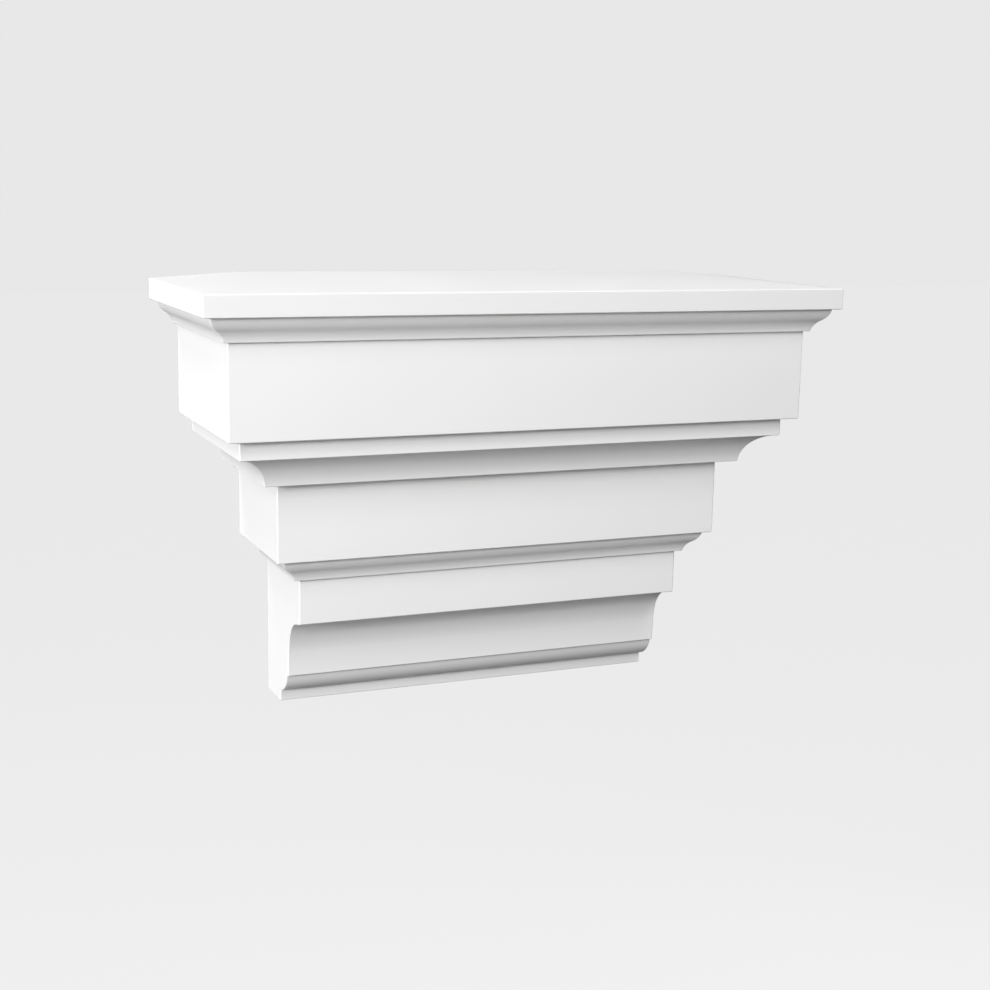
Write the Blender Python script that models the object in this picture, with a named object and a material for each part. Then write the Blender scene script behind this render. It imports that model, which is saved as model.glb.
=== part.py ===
# A corbel moulded in one piece: flat-backed bands and mouldings that step out from the wall under a plate.
# Lengths are in metres. X runs along the wall, -Y points out of it and +Z is up.
# The origin is the centre of the back face, where the corbel is fixed to the wall.
import math

import bmesh
import bpy

# The plate on top: behind its edge the weathering rises to a level field against the wall
PLATE_WIDTH = 0.440
PLATE_EDGE = 0.0141
WEATHERING_RISE = 0.0039
WEATHERING_SIDE_RUN = 0.058
WEATHERING_FRONT_RUN = 0.082

# The ogee, used under the plate and again under the middle band
OGEE_FOOT = 0.0035
OGEE_RUN = 0.0099
OGEE_RISE = 0.0149
OGEE_END = math.radians(77)
OGEE_LEAD = 0.0010
OGEE_SOFFIT = 0.0051

# The upper band, and the fillet and hollow that carry it
UPPER_BAND = 0.0610
UPPER_BAND_STEP = 0.0088
FILLET = 0.0126
HOLLOW_SIZE = 0.0207
HOLLOW_SLOPE = math.radians(6)
HOLLOW_STEP = 0.0114

# The middle and lower bands; from the lower band down the corbel has flush, flat sides
MIDDLE_BAND = 0.0532
LOWER_BAND = 0.0311
LOWER_SIDE_STEP = 0.0047

# The tall cove under the lower band: nearly upright at its foot, then two arcs and a sloping soffit
COVE_STEP = 0.0028
COVE_FOOT = 0.01705
COVE_FOOT_SLOPE = math.radians(86.5)
COVE_TAIL_RADIUS = 0.0350
COVE_TAIL_TURN = math.radians(20)
COVE_HEAD_RADIUS = 0.0225
COVE_SOFFIT = 0.0089
COVE_SOFFIT_SLOPE = math.radians(12.5)

# The shallow round under the cove, the small quirk it starts from, and the foot
ROUND_RUN = 0.0167
ROUND_RISE = 0.0152
ROUND_BULGE = 0.0040
QUIRK = 0.0008
QUIRK_RISE = 0.0005
FOOT_PROJECTION = 0.0322
FOOT_HEIGHT = 0.00755

# Softened edges: the bands' arrises, and the thin lips where a moulding starts
ARRIS = 0.0008
LIP = 0.0006

# How finely the curves are cut
ARRIS_CUTS = 3
CURVE_CUTS = 8

SURFACE_COLOUR = (0.86, 0.86, 0.855, 1.0)
SURFACE_ROUGHNESS = 0.55

LEVEL = 0.0
UPRIGHT = math.pi / 2


class Outline:
    """The outline in section, drawn from the foot upwards as points (out from the wall, up)."""

    def __init__(self, out):
        self.points = [(out, 0.0)]
        self.heading = LEVEL

    def line(self, length, heading):
        out, up = self.points[-1]
        self.points.append((out + length * math.cos(heading), up + length * math.sin(heading)))
        self.heading = heading

    def arc(self, radius, heading, cuts):
        """Turns to a new heading, round where it swings up and hollow where it swings out."""
        out, up = self.points[-1]
        bend = radius if heading > self.heading else -radius
        centre_out = out - bend * math.sin(self.heading)
        centre_up = up + bend * math.cos(self.heading)
        turn = heading - self.heading
        for cut in range(1, cuts + 1):
            angle = self.heading + turn * cut / cuts
            self.points.append((centre_out + bend * math.sin(angle), centre_up - bend * math.cos(angle)))
        self.heading = heading

    def face(self, height, arris):
        """A softened lower edge and the upright face above it, height in all."""
        arris = min(arris, height / 2)
        arris_rise = arris * math.cos(self.heading)
        self.arc(arris, UPRIGHT, ARRIS_CUTS)
        self.line(height - arris_rise, UPRIGHT)

    def band(self, step, height):
        """A level soffit out to a band, and the band's face."""
        arris = min(ARRIS, step / 2, height / 2)
        self.line(step - arris, LEVEL)
        self.face(height, arris)

    def lip(self, step, heading):
        """A level soffit out to the softened lip where a moulding starts. Returns the lip's rise."""
        lip = min(LIP, step / 2)
        self.line(step - lip * math.sin(heading), LEVEL)
        self.arc(lip, heading, ARRIS_CUTS)
        return lip * (1 - math.cos(heading))

    def ogee(self):
        """Hollow below and round above, equally steep at both ends."""
        rise = OGEE_RISE - self.lip(OGEE_FOOT, OGEE_END)
        lean = 2 * math.atan2(rise, OGEE_RUN) - OGEE_END
        radius = math.hypot(OGEE_RUN, rise) / 4 / math.sin((OGEE_END - lean) / 2)
        self.arc(radius, lean, CURVE_CUTS)
        self.arc(radius, OGEE_END, CURVE_CUTS)
        self.line(OGEE_LEAD, UPRIGHT)

    def round(self):
        """An arc on a sloping chord, bulging out and down over the quirk."""
        self.line(QUIRK, math.pi)
        self.line(QUIRK_RISE, UPRIGHT)
        run = ROUND_RUN + QUIRK
        chord = math.hypot(run, ROUND_RISE)
        chord_heading = math.atan2(ROUND_RISE, run)
        half_turn = 2 * math.atan2(2 * ROUND_BULGE, chord)
        radius = chord / 2 / math.sin(half_turn)
        self.heading = chord_heading - half_turn
        self.arc(radius, chord_heading + half_turn, CURVE_CUTS)

    def cove(self):
        foot = COVE_FOOT - self.lip(COVE_STEP, COVE_FOOT_SLOPE)
        self.line(foot / math.sin(COVE_FOOT_SLOPE), COVE_FOOT_SLOPE)
        self.arc(COVE_TAIL_RADIUS, COVE_FOOT_SLOPE - COVE_TAIL_TURN, CURVE_CUTS)
        self.arc(COVE_HEAD_RADIUS, COVE_SOFFIT_SLOPE, CURVE_CUTS)
        arris_run = ARRIS * (1 - math.sin(COVE_SOFFIT_SLOPE))
        self.line((COVE_SOFFIT - arris_run) / math.cos(COVE_SOFFIT_SLOPE), COVE_SOFFIT_SLOPE)

    def hollow(self):
        """An arc as far from upright at its foot as it is from level at its head."""
        foot = UPRIGHT - HOLLOW_SLOPE
        size = HOLLOW_SIZE - self.lip(HOLLOW_STEP, foot)
        self.arc(size / (math.cos(HOLLOW_SLOPE) - math.cos(foot)), HOLLOW_SLOPE, CURVE_CUTS)


def draw_outline():
    """Returns the outline's points, and how many of them lie below the mouldings with returns."""
    outline = Outline(FOOT_PROJECTION - ARRIS)
    outline.face(FOOT_HEIGHT, ARRIS)
    outline.round()
    outline.cove()
    outline.face(LOWER_BAND, ARRIS)
    flat_sided = len(outline.points)
    outline.ogee()
    outline.band(OGEE_SOFFIT, MIDDLE_BAND)
    outline.hollow()
    outline.face(FILLET, LIP)
    outline.band(UPPER_BAND_STEP, UPPER_BAND)
    outline.ogee()
    outline.band(OGEE_SOFFIT, PLATE_EDGE - ARRIS)
    outline.arc(ARRIS, math.pi, ARRIS_CUTS)
    return outline.points, flat_sided


def front_of_level(out, half_width):
    """Plan of one level from its left side round the front to its right side, with softened corners."""
    left = []
    for cut in range(ARRIS_CUTS + 1):
        angle = UPRIGHT * cut / ARRIS_CUTS
        left.append((-half_width + ARRIS * (1 - math.cos(angle)), -out + ARRIS * (1 - math.sin(angle))))
    return left + [(-x, y) for x, y in reversed(left)]


def build_mesh():
    """Stacks the levels into one closed body, flat against the wall."""
    points, flat_sided = draw_outline()
    plate_out = max(out for out, _ in points)
    top = points[-1][1] + WEATHERING_RISE
    middle = top / 2
    returns = PLATE_WIDTH / 2 - plate_out
    lower_half = points[flat_sided - 1][0] + OGEE_FOOT + returns - LOWER_SIDE_STEP

    body = bmesh.new()
    vertex = body.verts.new
    fronts, lefts, rights = [], [], []
    for level, (out, up) in enumerate(points):
        half = lower_half if level < flat_sided else out + returns
        z = up - middle
        fronts.append([vertex((x, y, z)) for x, y in front_of_level(out, half)])
        # Inside the flat side only its lowest and highest levels reach the back face
        if level == 0 or level >= flat_sided - 1:
            lefts.append(vertex((-half, 0, z)))
            rights.append(vertex((half, 0, z)))

    for below, above in zip(fronts, fronts[1:]):
        for near in range(len(below) - 1):
            body.faces.new((below[near], below[near + 1], above[near + 1], above[near]))

    for backs, end in ((lefts, 0), (rights, -1)):
        flat = [front[end] for front in fronts[:flat_sided]]
        body.faces.new([backs[0]] + flat + [backs[1]])
        returned = [front[end] for front in fronts[flat_sided - 1:]]
        for level in range(len(returned) - 1):
            body.faces.new((backs[level + 1], returned[level], returned[level + 1], backs[level + 2]))

    body.faces.new([lefts[0]] + fronts[0] + [rights[0]])
    field_half = PLATE_WIDTH / 2 - WEATHERING_SIDE_RUN
    field_out = plate_out - WEATHERING_FRONT_RUN
    field = [vertex((x, y, top - middle)) for x, y in (
        (-field_half, 0), (-field_half, -field_out), (field_half, -field_out), (field_half, 0))]
    weather(body, [lefts[-1]] + fronts[-1] + [rights[-1]], field)
    body.faces.new(lefts + field[:1] + field[3:] + rights[::-1])

    bmesh.ops.recalc_face_normals(body, faces=body.faces)
    mesh = bpy.data.meshes.new("corbel")
    body.to_mesh(mesh)
    body.free()
    mesh.shade_smooth()
    mesh.set_sharp_from_angle(angle=math.radians(25))
    return mesh


def weather(body, rim, field):
    """The sloping border between the plate's rim and the level field, and the field itself."""
    back_left, front_left, front_right, back_right = field
    corner = ARRIS_CUTS + 1
    body.faces.new((rim[0], rim[1], front_left, back_left))
    for near in range(1, corner):
        body.faces.new((rim[near], rim[near + 1], front_left))
    body.faces.new((rim[corner], rim[corner + 1], front_right, front_left))
    for near in range(corner + 1, 2 * corner):
        body.faces.new((rim[near], rim[near + 1], front_right))
    body.faces.new((rim[-2], rim[-1], back_right, front_right))
    body.faces.new(field)


def surface_material():
    material = bpy.data.materials.new("primed_white")
    material.use_nodes = True
    shader = material.node_tree.nodes["Principled BSDF"]
    shader.inputs["Base Color"].default_value = SURFACE_COLOUR
    shader.inputs["Roughness"].default_value = SURFACE_ROUGHNESS
    shader.inputs["Metallic"].default_value = 0.0
    return material


def main():
    for old in list(bpy.data.objects):
        bpy.data.objects.remove(old)
    mesh = build_mesh()
    mesh.materials.append(surface_material())
    bpy.context.scene.collection.objects.link(bpy.data.objects.new("corbel", mesh))


main()
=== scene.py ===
import math

import bmesh
import bpy
from mathutils import Matrix, Vector


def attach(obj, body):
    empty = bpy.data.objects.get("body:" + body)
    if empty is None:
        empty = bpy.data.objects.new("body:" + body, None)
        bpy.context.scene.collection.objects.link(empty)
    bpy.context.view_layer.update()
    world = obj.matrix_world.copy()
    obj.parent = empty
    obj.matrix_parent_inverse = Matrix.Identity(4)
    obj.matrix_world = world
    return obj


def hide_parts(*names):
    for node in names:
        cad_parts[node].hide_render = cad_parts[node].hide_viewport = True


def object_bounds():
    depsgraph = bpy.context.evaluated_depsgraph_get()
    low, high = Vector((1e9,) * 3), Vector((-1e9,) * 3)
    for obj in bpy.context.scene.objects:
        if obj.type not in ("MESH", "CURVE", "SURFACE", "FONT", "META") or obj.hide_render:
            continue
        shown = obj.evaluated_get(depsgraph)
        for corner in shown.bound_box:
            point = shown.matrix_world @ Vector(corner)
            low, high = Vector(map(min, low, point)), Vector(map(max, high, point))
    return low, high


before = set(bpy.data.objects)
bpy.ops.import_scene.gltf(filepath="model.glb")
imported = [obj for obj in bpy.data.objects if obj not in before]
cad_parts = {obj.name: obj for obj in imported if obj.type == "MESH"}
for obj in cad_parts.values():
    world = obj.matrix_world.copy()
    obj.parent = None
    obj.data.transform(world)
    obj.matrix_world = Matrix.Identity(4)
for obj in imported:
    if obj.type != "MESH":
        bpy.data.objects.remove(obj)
frameLow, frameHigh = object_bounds()
mm = 0.001
level, upright, back = 0.0, math.pi / 2, math.pi  # headings of the outline, seen from the corbel's side


# One class for every node tree: it wraps a socket, and maths on it adds Math nodes.
# Without a socket it only starts a tree.
class Wire:
    def __init__(self, tree, socket=None):
        self.tree = tree
        self.socket = socket

    def add(self, kind, settings=None, inputs=None, out=0):
        node = self.tree.nodes.new(kind)
        for name, value in (settings or {}).items():
            setattr(node, name, value)
        for name, value in (inputs or {}).items():
            for item in value if isinstance(value, list) else [value]:  # a list joins several wires
                if isinstance(item, Wire):
                    self.tree.links.new(item.socket, node.inputs[name])
                else:
                    node.inputs[name].default_value = item
        return Wire(self.tree, node.outputs[out]) if node.outputs else None

    def maths(self, operation, *others):
        inputs = dict(enumerate((self, *others)))
        return self.add("ShaderNodeMath", {"operation": operation}, inputs)

    def __add__(self, other):
        return self.maths("ADD", other)

    def __sub__(self, other):
        return self.maths("SUBTRACT", other)

    def __rsub__(self, other):
        return self.add("ShaderNodeMath", {"operation": "SUBTRACT"}, {0: other, 1: self})

    def __mul__(self, other):
        return self.maths("MULTIPLY", other)

    def __truediv__(self, other):
        return self.maths("DIVIDE", other)

    def __lt__(self, other):
        return self.maths("LESS_THAN", other)

    def __gt__(self, other):
        return self.maths("GREATER_THAN", other)

    __radd__ = __add__
    __rmul__ = __mul__

    def axis(self, letter):
        return self.add("ShaderNodeSeparateXYZ", inputs={0: self}, out="XYZ".index(letter))

    def smooth(self, low, high):
        settings = {"interpolation_type": "SMOOTHSTEP"}
        return self.add("ShaderNodeMapRange", settings, {0: self, 1: low, 2: high})


# The outline in section, drawn from the foot upwards as (out from the wall, up), in metres
class Outline:
    def __init__(self, out):
        self.points = [(out, 0.0)]
        self.heading = level

    def line(self, length, heading):
        out, up = self.points[-1]
        self.points.append((out + length * math.cos(heading), up + length * math.sin(heading)))
        self.heading = heading

    def arc(self, radius, heading, cuts):  # round where it swings up, hollow where it swings out
        out, up = self.points[-1]
        bend = radius if heading > self.heading else -radius
        centreOut = out - bend * math.sin(self.heading)
        centreUp = up + bend * math.cos(self.heading)
        turn = heading - self.heading
        for cut in range(1, cuts + 1):
            angle = self.heading + turn * cut / cuts
            self.points.append((centreOut + bend * math.sin(angle), centreUp - bend * math.cos(angle)))
        self.heading = heading

    def face(self, height, arris):  # a softened lower edge, and the upright face above it
        rise = arris * math.cos(self.heading)
        self.arc(arris, upright, sizes["arrisCuts"])
        self.line(height - rise, upright)

    def soffit(self, run):  # out under an overhang, from an inner corner that primer has filled a little
        crease = sizes["crease"]
        out, up = self.points[-1]
        if self.heading == upright:
            self.points[-1] = (out, up - crease)
            self.arc(crease, level, sizes["creaseCuts"])
            run -= crease
        self.line(run, level)

    def band(self, step, height):  # a level soffit out to a band's face
        self.soffit(step - sizes["arris"])
        self.face(height, sizes["arris"])

    def lip(self, step, heading):  # a level soffit out to the thin edge where a moulding starts
        self.soffit(step - sizes["lip"] * math.sin(heading))
        self.arc(sizes["lip"], heading, sizes["arrisCuts"])
        return sizes["lip"] * (1 - math.cos(heading))

    def ogee(self):  # hollow below and round above, as steep at both ends
        end = sizes["ogeeEnd"]
        run, rise = sizes["ogeeRun"], sizes["ogeeRise"] - self.lip(sizes["ogeeFoot"], end)
        lean = 2 * math.atan2(rise, run) - end
        radius = math.hypot(run, rise) / 4 / math.sin((end - lean) / 2)
        self.arc(radius, lean, sizes["curveCuts"])
        self.arc(radius, end, sizes["curveCuts"])
        self.line(sizes["ogeeLead"], upright)

    def round(self):
        self.line(sizes["quirk"], back)
        self.line(sizes["quirkRise"], upright)
        run, rise = sizes["roundRun"] + sizes["quirk"], sizes["roundRise"]
        chord, chordHeading = math.hypot(run, rise), math.atan2(rise, run)
        halfTurn = 2 * math.atan2(2 * sizes["roundBulge"], chord)
        self.heading = chordHeading - halfTurn
        self.arc(chord / 2 / math.sin(halfTurn), chordHeading + halfTurn, sizes["curveCuts"])

    def cove(self):
        slope, foot = sizes["coveSoffitSlope"], sizes["coveFootSlope"]
        self.line((sizes["coveFoot"] - self.lip(sizes["coveStep"], foot)) / math.sin(foot), foot)
        self.arc(sizes["coveTailRadius"], foot - sizes["coveTailTurn"], sizes["curveCuts"])
        self.arc(sizes["coveHeadRadius"], slope, sizes["curveCuts"])
        arrisRun = sizes["arris"] * (1 - math.sin(slope))
        self.line((sizes["coveSoffit"] - arrisRun) / math.cos(slope), slope)

    def hollow(self):
        end = upright - sizes["hollowSlope"]
        size = sizes["hollowSize"] - self.lip(sizes["hollowStep"], end)
        radius = size / (math.cos(sizes["hollowSlope"]) - math.cos(end))
        self.arc(radius, sizes["hollowSlope"], sizes["curveCuts"])


# What a user would change about the corbel's shape. Its width, depth and height come from the frame.
sizes = {
    # the plate, and the weathering behind its edge
    "plateEdge": 14.1 * mm, "weatheringRise": 3.9 * mm,
    "weatheringSideRun": 58 * mm, "weatheringFrontRun": 82 * mm,
    # both ogees
    "ogeeFoot": 3.5 * mm, "ogeeRun": 9.9 * mm, "ogeeRise": 14.9 * mm, "ogeeEnd": math.radians(77),
    "ogeeLead": 1.0 * mm, "ogeeSoffit": 5.1 * mm,
    # the bands, the fillet and the hollow
    "upperBand": 61.0 * mm, "upperBandStep": 8.8 * mm, "fillet": 12.6 * mm,
    "hollowSize": 20.7 * mm, "hollowSlope": math.radians(6), "hollowStep": 11.4 * mm,
    "middleBand": 53.2 * mm, "lowerBand": 31.1 * mm, "lowerSideStep": 4.7 * mm,
    # the cove
    "coveStep": 2.8 * mm, "coveFoot": 17.05 * mm, "coveFootSlope": math.radians(86.5),
    "coveTailRadius": 35.0 * mm, "coveTailTurn": math.radians(20),
    "coveHeadRadius": 22.5 * mm, "coveSoffit": 8.9 * mm, "coveSoffitSlope": math.radians(12.5),
    # the round and the foot
    "roundRun": 16.7 * mm, "roundRise": 15.2 * mm, "roundBulge": 4.0 * mm,
    "quirk": 0.8 * mm, "quirkRise": 0.5 * mm, "footProjection": 32.2 * mm, "footHeight": 7.55 * mm,
    # softened edges, and how finely everything is cut
    "arris": 0.8 * mm, "lip": 0.6 * mm, "crease": 0.25 * mm, "sharpFrom": math.radians(20),
    "arrisCuts": 7, "creaseCuts": 4, "curveCuts": 28, "cornerCuts": 9,
    "flatSpacing": 1.1, "weld": 0.01 * mm,
}


def drawOutline():
    outline = Outline(sizes["footProjection"] - sizes["arris"])
    outline.face(sizes["footHeight"], sizes["arris"])
    outline.round()
    outline.cove()
    outline.face(sizes["lowerBand"], sizes["arris"])
    flatLevels = len(outline.points)  # below here the sides are flush and flat
    outline.ogee()
    outline.band(sizes["ogeeSoffit"], sizes["middleBand"])
    outline.hollow()
    outline.face(sizes["fillet"], sizes["lip"])
    outline.band(sizes["upperBandStep"], sizes["upperBand"])
    outline.ogee()
    outline.band(sizes["ogeeSoffit"], sizes["plateEdge"] - sizes["arris"])
    outline.arc(sizes["arris"], back, sizes["arrisCuts"])
    return outline.points, flatLevels


# Runs the outline round the corbel: a grid whose rows are the outline's levels and whose columns are
# stations in plan, from the wall round the left corner, along the front and round the right corner
def buildReturnTree(inputs):
    tree = bpy.data.node_groups.new("runRoundReturns", "GeometryNodeTree")
    tree.interface.new_socket("Geometry", in_out="INPUT", socket_type="NodeSocketGeometry")
    tree.interface.new_socket("Geometry", in_out="OUTPUT", socket_type="NodeSocketGeometry")
    for name, (kind, _) in inputs.items():
        tree.interface.new_socket(name, in_out="INPUT", socket_type="NodeSocket" + kind)
    add = Wire(tree).add
    value = {name: add("NodeGroupInput", out=name) for name in ["Geometry", *inputs]}

    # Rows and stations are whole numbers, so each test on them falls half-way between two
    levels = add("GeometryNodeAttributeDomainSize", inputs={0: value["Geometry"]})
    rows = levels + 3  # the underside's wall edge, the outline, the field's edge and its wall edge
    corner = value["Corner Cuts"]
    stations = corner * 2 + 4  # on each side one on the wall, and then the corner's own
    grid = add("GeometryNodeMeshGrid", inputs={"Vertices X": stations, "Vertices Y": rows})
    index = add("GeometryNodeInputIndex")
    station = ((index + 0.5) / rows).maths("FLOOR")
    row = index - station * rows
    levelOfRow = (row - 1).maths("MAXIMUM", 0).maths("MINIMUM", levels - 1)
    outlinePoint = add("GeometryNodeSampleIndex", {"data_type": "FLOAT_VECTOR"}, {
        "Geometry": value["Geometry"], "Value": add("GeometryNodeInputPosition"), "Index": levelOfRow})
    out, up = outlinePoint.axis("X"), outlinePoint.axis("Z")

    # Half the width: the returns follow the outline, and the flat sides don't
    isFlat = levelOfRow < value["Flat Levels"]
    half = isFlat * value["Flat Half Width"] + (1 - isFlat) * (out + value["Return"])
    side = 1 - 2 * (station < stations / 2)
    fromWall = station.maths("MINIMUM", stations - 1 - station)
    onWall = fromWall < 0.5
    turn = (fromWall - 1).maths("MAXIMUM", 0) / corner * upright
    radius = value["Corner Radius"]
    x = half - radius * (1 - turn.maths("COSINE"))
    y = (out - radius * (1 - turn.maths("SINE"))) * (1 - onWall) * (row > 0.5)

    # Up the wall the flat side's edge is spaced almost evenly, so that its level steps leave no slivers.
    # The power keeps the faces over the quirk, which steps back, from folding.
    flatTop = value["Flat Top"]
    share = (levelOfRow / (value["Flat Levels"] - 1)).maths("POWER", value["Flat Spacing"])
    z = up + (flatTop - up) * share * isFlat * onWall * (row > 0.5)

    # Behind the plate's edge the last two rows are the level field against the wall
    isField = row > levels + 0.5
    x = x + (value["Field Half Width"] - x) * isField
    y = y + (value["Field Depth"] * (1 - onWall) * (row < levels + 1.5) - y) * isField
    z = z + value["Weathering Rise"] * isField
    place = add("ShaderNodeCombineXYZ", inputs={0: side * x, 1: y * -1, 2: z + value["Lift"]})
    shell = add("GeometryNodeSetPosition", inputs={"Geometry": grid, "Position": place})
    shell = add("GeometryNodeMergeByDistance", inputs={"Geometry": shell, "Distance": value["Weld"]})

    # The flat back fills the loop that is left open on the wall
    edgeFaces = add("GeometryNodeInputMeshEdgeNeighbors")
    rim = add("GeometryNodeMeshToCurve", inputs={"Mesh": shell, "Selection": edgeFaces < 1.5})
    laidFlat = add("GeometryNodeTransform", inputs={"Geometry": rim, "Rotation": (-upright, 0, 0)})
    filled = add("GeometryNodeFillCurve", {"mode": "NGONS"}, {"Curve": laidFlat})
    turned = add("GeometryNodeTransform", inputs={"Geometry": filled, "Rotation": (upright, 0, 0)})
    backFace = add("GeometryNodeFlipFaces", inputs={"Mesh": turned})
    joined = add("GeometryNodeJoinGeometry", inputs={0: [backFace, shell]})
    closed = add("GeometryNodeMergeByDistance", inputs={"Geometry": joined, "Distance": value["Weld"]})
    real = add("GeometryNodeRealizeInstances", inputs={0: closed})
    finished = add("GeometryNodeSetMaterial", inputs={"Geometry": real, "Material": value["Material"]})
    add("NodeGroupOutput", inputs={0: finished})
    return tree


def meshFromNodes(name, startMesh, inputs):
    carrier = bpy.data.objects.new(name + "Carrier", startMesh)
    bpy.context.scene.collection.objects.link(carrier)
    tree = buildReturnTree(inputs)
    modifier = carrier.modifiers.new("nodes", "NODES")
    modifier.node_group = tree
    for item in tree.interface.items_tree:
        if item.in_out == "INPUT" and item.name in inputs:
            modifier[item.identifier] = inputs[item.name][1]
    evaluated = carrier.evaluated_get(bpy.context.evaluated_depsgraph_get())
    mesh = bpy.data.meshes.new_from_object(evaluated)
    bpy.data.objects.remove(carrier)
    mesh.name = name
    mesh.materials.clear()  # the grid's empty slot goes, and the one material becomes the first
    mesh.materials.append(inputs["Material"][1])
    mesh.polygons.foreach_set("material_index", [0] * len(mesh.polygons))
    return mesh


# What a user would change about the finish
finish = {
    "primer": 0.80, "primerWarmth": 0.003, "primerRoughness": 0.46, "primerSheen": 0.4,
    "grainSize": 0.5 * mm, "grainDepth": 0.010 * mm, "grainShade": 0.020, "grainRoughness": 0.10,
    "peelSize": 2.6 * mm, "peelDepth": 0.016 * mm,  # the slight orange peel of a sprayed coat
    "nibSpacing": 9 * mm, "nibSize": 0.05, "nibDepth": 0.05 * mm,  # dust caught in the coat
    "cloudSize": 55 * mm, "cloudShade": 0.022, "cloudRoughness": 0.10,
    # the foam's colour, how much darker its random patches are, and how much painted shade darkens its
    # cells' pits
    "foam": (0.74, 0.69, 0.58), "foamPatchesAndPaintedPitShade": 0.12, "foamRoughness": 0.88,
    # how far from each cell's centre the painted shade in its pit fades out
    "foamCellSize": 1.1 * mm, "foamPaintedPitShadeFade": (0.05, 0.4),
    "foamDepth": 0.16 * mm, "foamPatchSize": 30 * mm,
    "oversprayWidth": 13 * mm, "oversprayRagged": 22 * mm,
    # the back's outline, roughly: half its width low down, where it starts to widen, and how fast
    "backHalf": 141 * mm, "backWidensAt": -50 * mm, "backSpread": 0.4,
    "backFace": (-0.2 * mm, -0.05 * mm),  # how near the wall a surface has to be to count as the back
}


def principled(material):
    material.use_nodes = True
    tree = material.node_tree
    return tree, tree.nodes["Principled BSDF"]


def makePrimer():
    material = bpy.data.materials.new("primedWhite")
    tree, shader = principled(material)
    shader.inputs["Specular IOR Level"].default_value = finish["primerSheen"]
    add = Wire(tree).add
    place = add("ShaderNodeTexCoord", out="Object")

    def noise(size, detail, roughness):  # centred on nought
        inputs = {"Vector": place, "Scale": 1 / size, "Detail": detail, "Roughness": roughness}
        return add("ShaderNodeTexNoise", inputs=inputs) - 0.5

    grain = noise(finish["grainSize"], 3.0, 0.6)
    peel = noise(finish["peelSize"], 1.0, 0.4)
    clouds = noise(finish["cloudSize"], 3.0, 0.5)
    nibs = add("ShaderNodeTexVoronoi", inputs={"Vector": place, "Scale": 1 / finish["nibSpacing"]})
    nib = 1 - nibs.smooth(0, finish["nibSize"])
    value = finish["primer"] * (1 + clouds * finish["cloudShade"] + grain * finish["grainShade"])
    blue = value * (1 - finish["primerWarmth"])
    primer = add("ShaderNodeCombineColor", inputs={0: value, 1: value, 2: blue})
    unevenness = grain * finish["grainRoughness"] + clouds * finish["cloudRoughness"]
    roughness = finish["primerRoughness"] + unevenness
    coat = grain * finish["grainDepth"] + peel * finish["peelDepth"] + nib * finish["nibDepth"]

    # The back is bare foam, with a skin of open cells and darker random patches; each cell's pit, where
    # the bump dips, is painted darker as painted shade
    cells = add("ShaderNodeTexVoronoi", inputs={"Vector": place, "Scale": 1 / finish["foamCellSize"]})
    patches = noise(finish["foamPatchSize"], 4.0, 0.6)
    # painted shade: darker towards each cell's centre, where the relief below has its pits, plus darker
    # random patches
    foamValue = 1 + (patches - (1 - cells.smooth(*finish["foamPaintedPitShadeFade"]))) * finish["foamPatchesAndPaintedPitShade"]
    foam = add("ShaderNodeCombineColor", inputs={
        channel: foamValue * shade for channel, shade in enumerate(finish["foam"])})

    # Primer has drifted over the back's rim, unevenly
    across, up = place.axis("X").maths("ABSOLUTE"), place.axis("Z")
    half = finish["backHalf"] + (up - finish["backWidensAt"]).maths("MAXIMUM", 0) * finish["backSpread"]
    inset = (half - across).maths("MINIMUM", up - frameLow.z).maths("MINIMUM", frameHigh.z - up)
    dry = (inset + patches * finish["oversprayRagged"]).smooth(0, finish["oversprayWidth"])
    bare = place.axis("Y").smooth(*finish["backFace"]) * dry

    colour = add("ShaderNodeMix", {"data_type": "RGBA"}, {0: bare, 6: primer, 7: foam}, out=2)
    roughness = roughness + (finish["foamRoughness"] - roughness) * bare
    relief = coat + (cells * finish["foamDepth"] - coat) * bare
    bump = add("ShaderNodeBump", inputs={"Strength": 1.0, "Distance": 1.0, "Height": relief})
    for name, wire in (("Base Color", colour), ("Roughness", roughness), ("Normal", bump)):
        tree.links.new(wire.socket, shader.inputs[name])
    return material


def makeCorbel():
    points, flatLevels = drawOutline()
    startMesh = bpy.data.meshes.new("outline")
    edges = [(i, i + 1) for i in range(len(points) - 1)]
    startMesh.from_pydata([(out, 0, up) for out, up in points], edges, [])
    primer = makePrimer()
    plateOut = max(out for out, _ in points)
    returns = frameHigh.x - plateOut
    flatTop = points[flatLevels - 1]
    inputs = {
        "Return": ("Float", returns),
        "Flat Levels": ("Int", flatLevels),
        "Flat Half Width": ("Float", flatTop[0] + sizes["ogeeFoot"] + returns - sizes["lowerSideStep"]),
        "Flat Top": ("Float", flatTop[1]),
        "Flat Spacing": ("Float", sizes["flatSpacing"]),
        "Corner Radius": ("Float", sizes["arris"]),
        "Corner Cuts": ("Int", sizes["cornerCuts"]),
        "Field Half Width": ("Float", frameHigh.x - sizes["weatheringSideRun"]),
        "Field Depth": ("Float", plateOut - sizes["weatheringFrontRun"]),
        "Weathering Rise": ("Float", sizes["weatheringRise"]),
        "Lift": ("Float", frameLow.z),
        "Weld": ("Float", sizes["weld"]),
        "Material": ("Material", primer),
    }
    mesh = meshFromNodes("corbelMoulding", startMesh, inputs)
    piece = bpy.data.objects.new("corbelMoulding", mesh)
    bpy.context.scene.collection.objects.link(piece)
    mesh.shade_smooth()
    mesh.set_sharp_from_angle(angle=sizes["sharpFrom"])
    piece.modifiers.new("evenShading", "WEIGHTED_NORMAL").keep_sharp = True
    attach(piece, "root")
    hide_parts("corbel")
    return piece


corbel = makeCorbel()
print("corbel moulded:", len(corbel.data.polygons), "faces")

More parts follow.
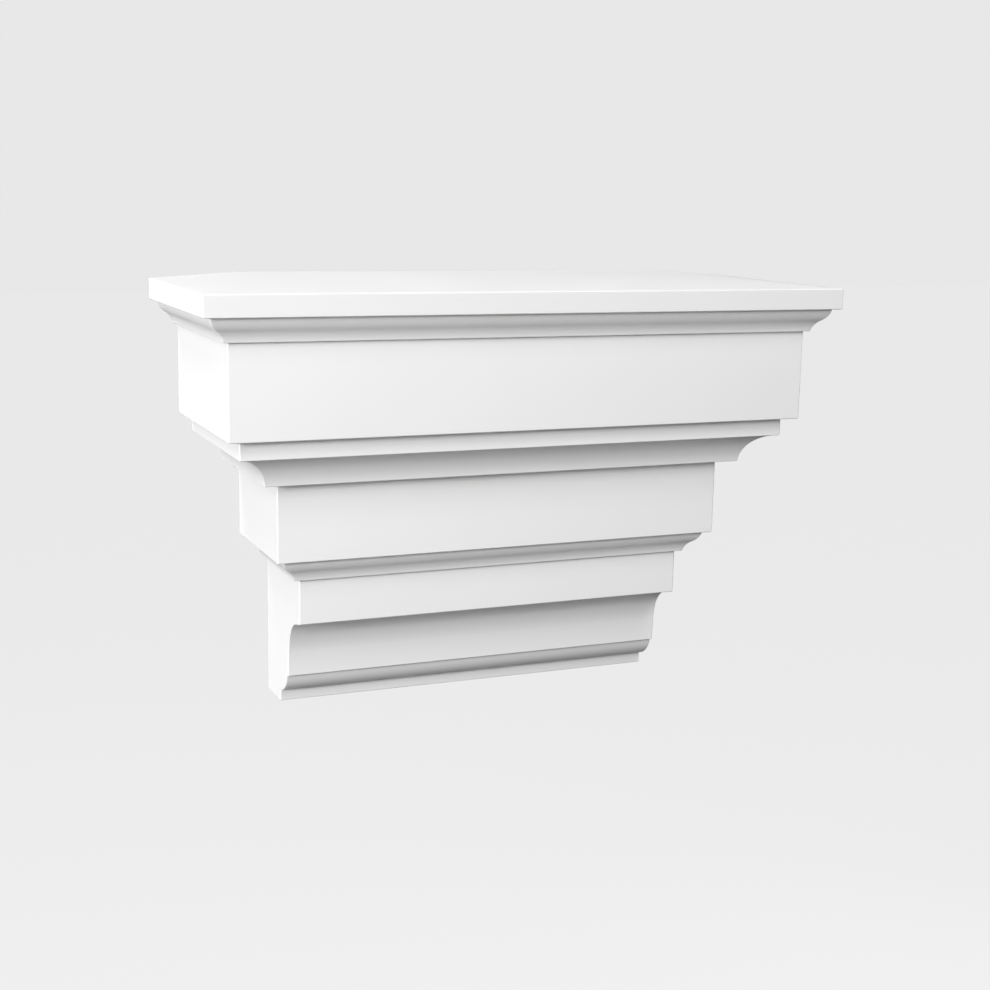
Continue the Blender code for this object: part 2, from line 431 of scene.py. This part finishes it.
# The room: a pale floor well below the corbel, soft lamps mostly from the left, and a white surround
studio = {
    "floorDrop": 1.1, "floorSize": 40.0, "floorColour": 0.08, "floorRoughness": 0.9,
    "surroundSeen": 0.806, "surroundLight": 0.10,
    "lampDistance": 2.5, "lampAim": (0.0, -0.08, 0.0),
    "lamps": [
        # name, degrees round from the front (left is negative), degrees up, size in metres, watts
        ("key", -60, 10, 0.35, 48.3),
        ("crisp", -30, 25, 0.35, 12.3),
        ("overFront", 15, 45, 1.2, 28.2),
        ("highLeft", -120, 65, 1.2, 38.7),
        ("leftBack", -135, 25, 1.2, 17.1),
        ("lowLeft", -70, -15, 1.2, 13.8),
        ("rightBack", 125, 0, 1.2, 12.0),
    ],
}


def makeFloor():
    body = bmesh.new()
    bmesh.ops.create_grid(body, x_segments=1, y_segments=1, size=studio["floorSize"] / 2)
    bmesh.ops.translate(body, verts=body.verts, vec=(0, 0, frameLow.z - studio["floorDrop"]))
    mesh = bpy.data.meshes.new("floor")
    body.to_mesh(mesh)
    body.free()
    material = bpy.data.materials.new("floorPaint")
    shader = principled(material)[1]
    paint = studio["floorColour"]
    shader.inputs["Base Color"].default_value = (paint, paint, paint, 1)
    shader.inputs["Roughness"].default_value = studio["floorRoughness"]
    shader.inputs["Emission Color"].default_value = (1, 1, 1, 1)
    # It glows so far that its far edge can't be told from the surround
    glow = studio["surroundSeen"] - paint * studio["surroundLight"]
    shader.inputs["Emission Strength"].default_value = glow
    mesh.materials.append(material)
    floor = bpy.data.objects.new("floor", mesh)
    floor.visible_diffuse = False  # it is seen, but doesn't light the corbel
    floor.visible_glossy = False
    bpy.context.scene.collection.objects.link(floor)


def makeLamps():
    aim = Vector(studio["lampAim"])
    for name, around, up, size, watts in studio["lamps"]:
        light = bpy.data.lights.new(name, "AREA")
        light.shape = "DISK"
        light.size = size
        light.energy = watts
        lamp = bpy.data.objects.new(name, light)
        turn, rise = math.radians(around), math.radians(up)
        away = Vector((math.sin(turn) * math.cos(rise), -math.cos(turn) * math.cos(rise), math.sin(rise)))
        lamp.location = aim + away * studio["lampDistance"]
        lamp.rotation_euler = (-away).to_track_quat("-Z", "Y").to_euler()
        lamp.visible_camera = False
        bpy.context.scene.collection.objects.link(lamp)


def makeSurround():
    world = bpy.data.worlds.new("surround")
    world.use_nodes = True
    tree = world.node_tree
    seen = Wire(tree).add("ShaderNodeLightPath", out="Is Camera Ray")
    strength = studio["surroundLight"] + seen * (studio["surroundSeen"] - studio["surroundLight"])
    tree.nodes["Background"].inputs["Color"].default_value = (1, 1, 1, 1)
    tree.links.new(strength.socket, tree.nodes["Background"].inputs["Strength"])
    bpy.context.scene.world = world


# The camera, solved from the photograph's edges: turned left, tipped down and rolled a little
camera = {
    "place": (-0.42848, -1.08155, 0.06527),  # from the plate's top arris
    "turn": math.radians(-23.0823), "tip": math.radians(-10.9034), "roll": math.radians(1.0978),
    "lens": 58.658, "sensor": 36,
}


def makeCamera():
    turn, tip, roll = camera["turn"], camera["tip"], camera["roll"]
    ahead = Vector((-math.sin(turn) * math.cos(tip), math.cos(turn) * math.cos(tip), math.sin(tip)))
    across = Vector((math.cos(turn), math.sin(turn), 0))
    above = across.cross(ahead)
    right = math.cos(roll) * across + math.sin(roll) * above
    upwards = -math.sin(roll) * across + math.cos(roll) * above
    data = bpy.data.cameras.new("camera")
    data.lens = camera["lens"]
    data.sensor_width = camera["sensor"]
    eye = bpy.data.objects.new("camera", data)
    arrisTop = frameHigh.z - sizes["weatheringRise"]
    place = Vector(camera["place"]) + Vector((0, 0, arrisTop))
    eye.matrix_world = Matrix.Translation(place) @ Matrix((right, upwards, -ahead)).transposed().to_4x4()
    bpy.context.scene.collection.objects.link(eye)
    bpy.context.scene.camera = eye


makeFloor()
makeLamps()
makeSurround()
makeCamera()
bpy.context.scene.view_settings.view_transform = "Standard"
print("studio ready")
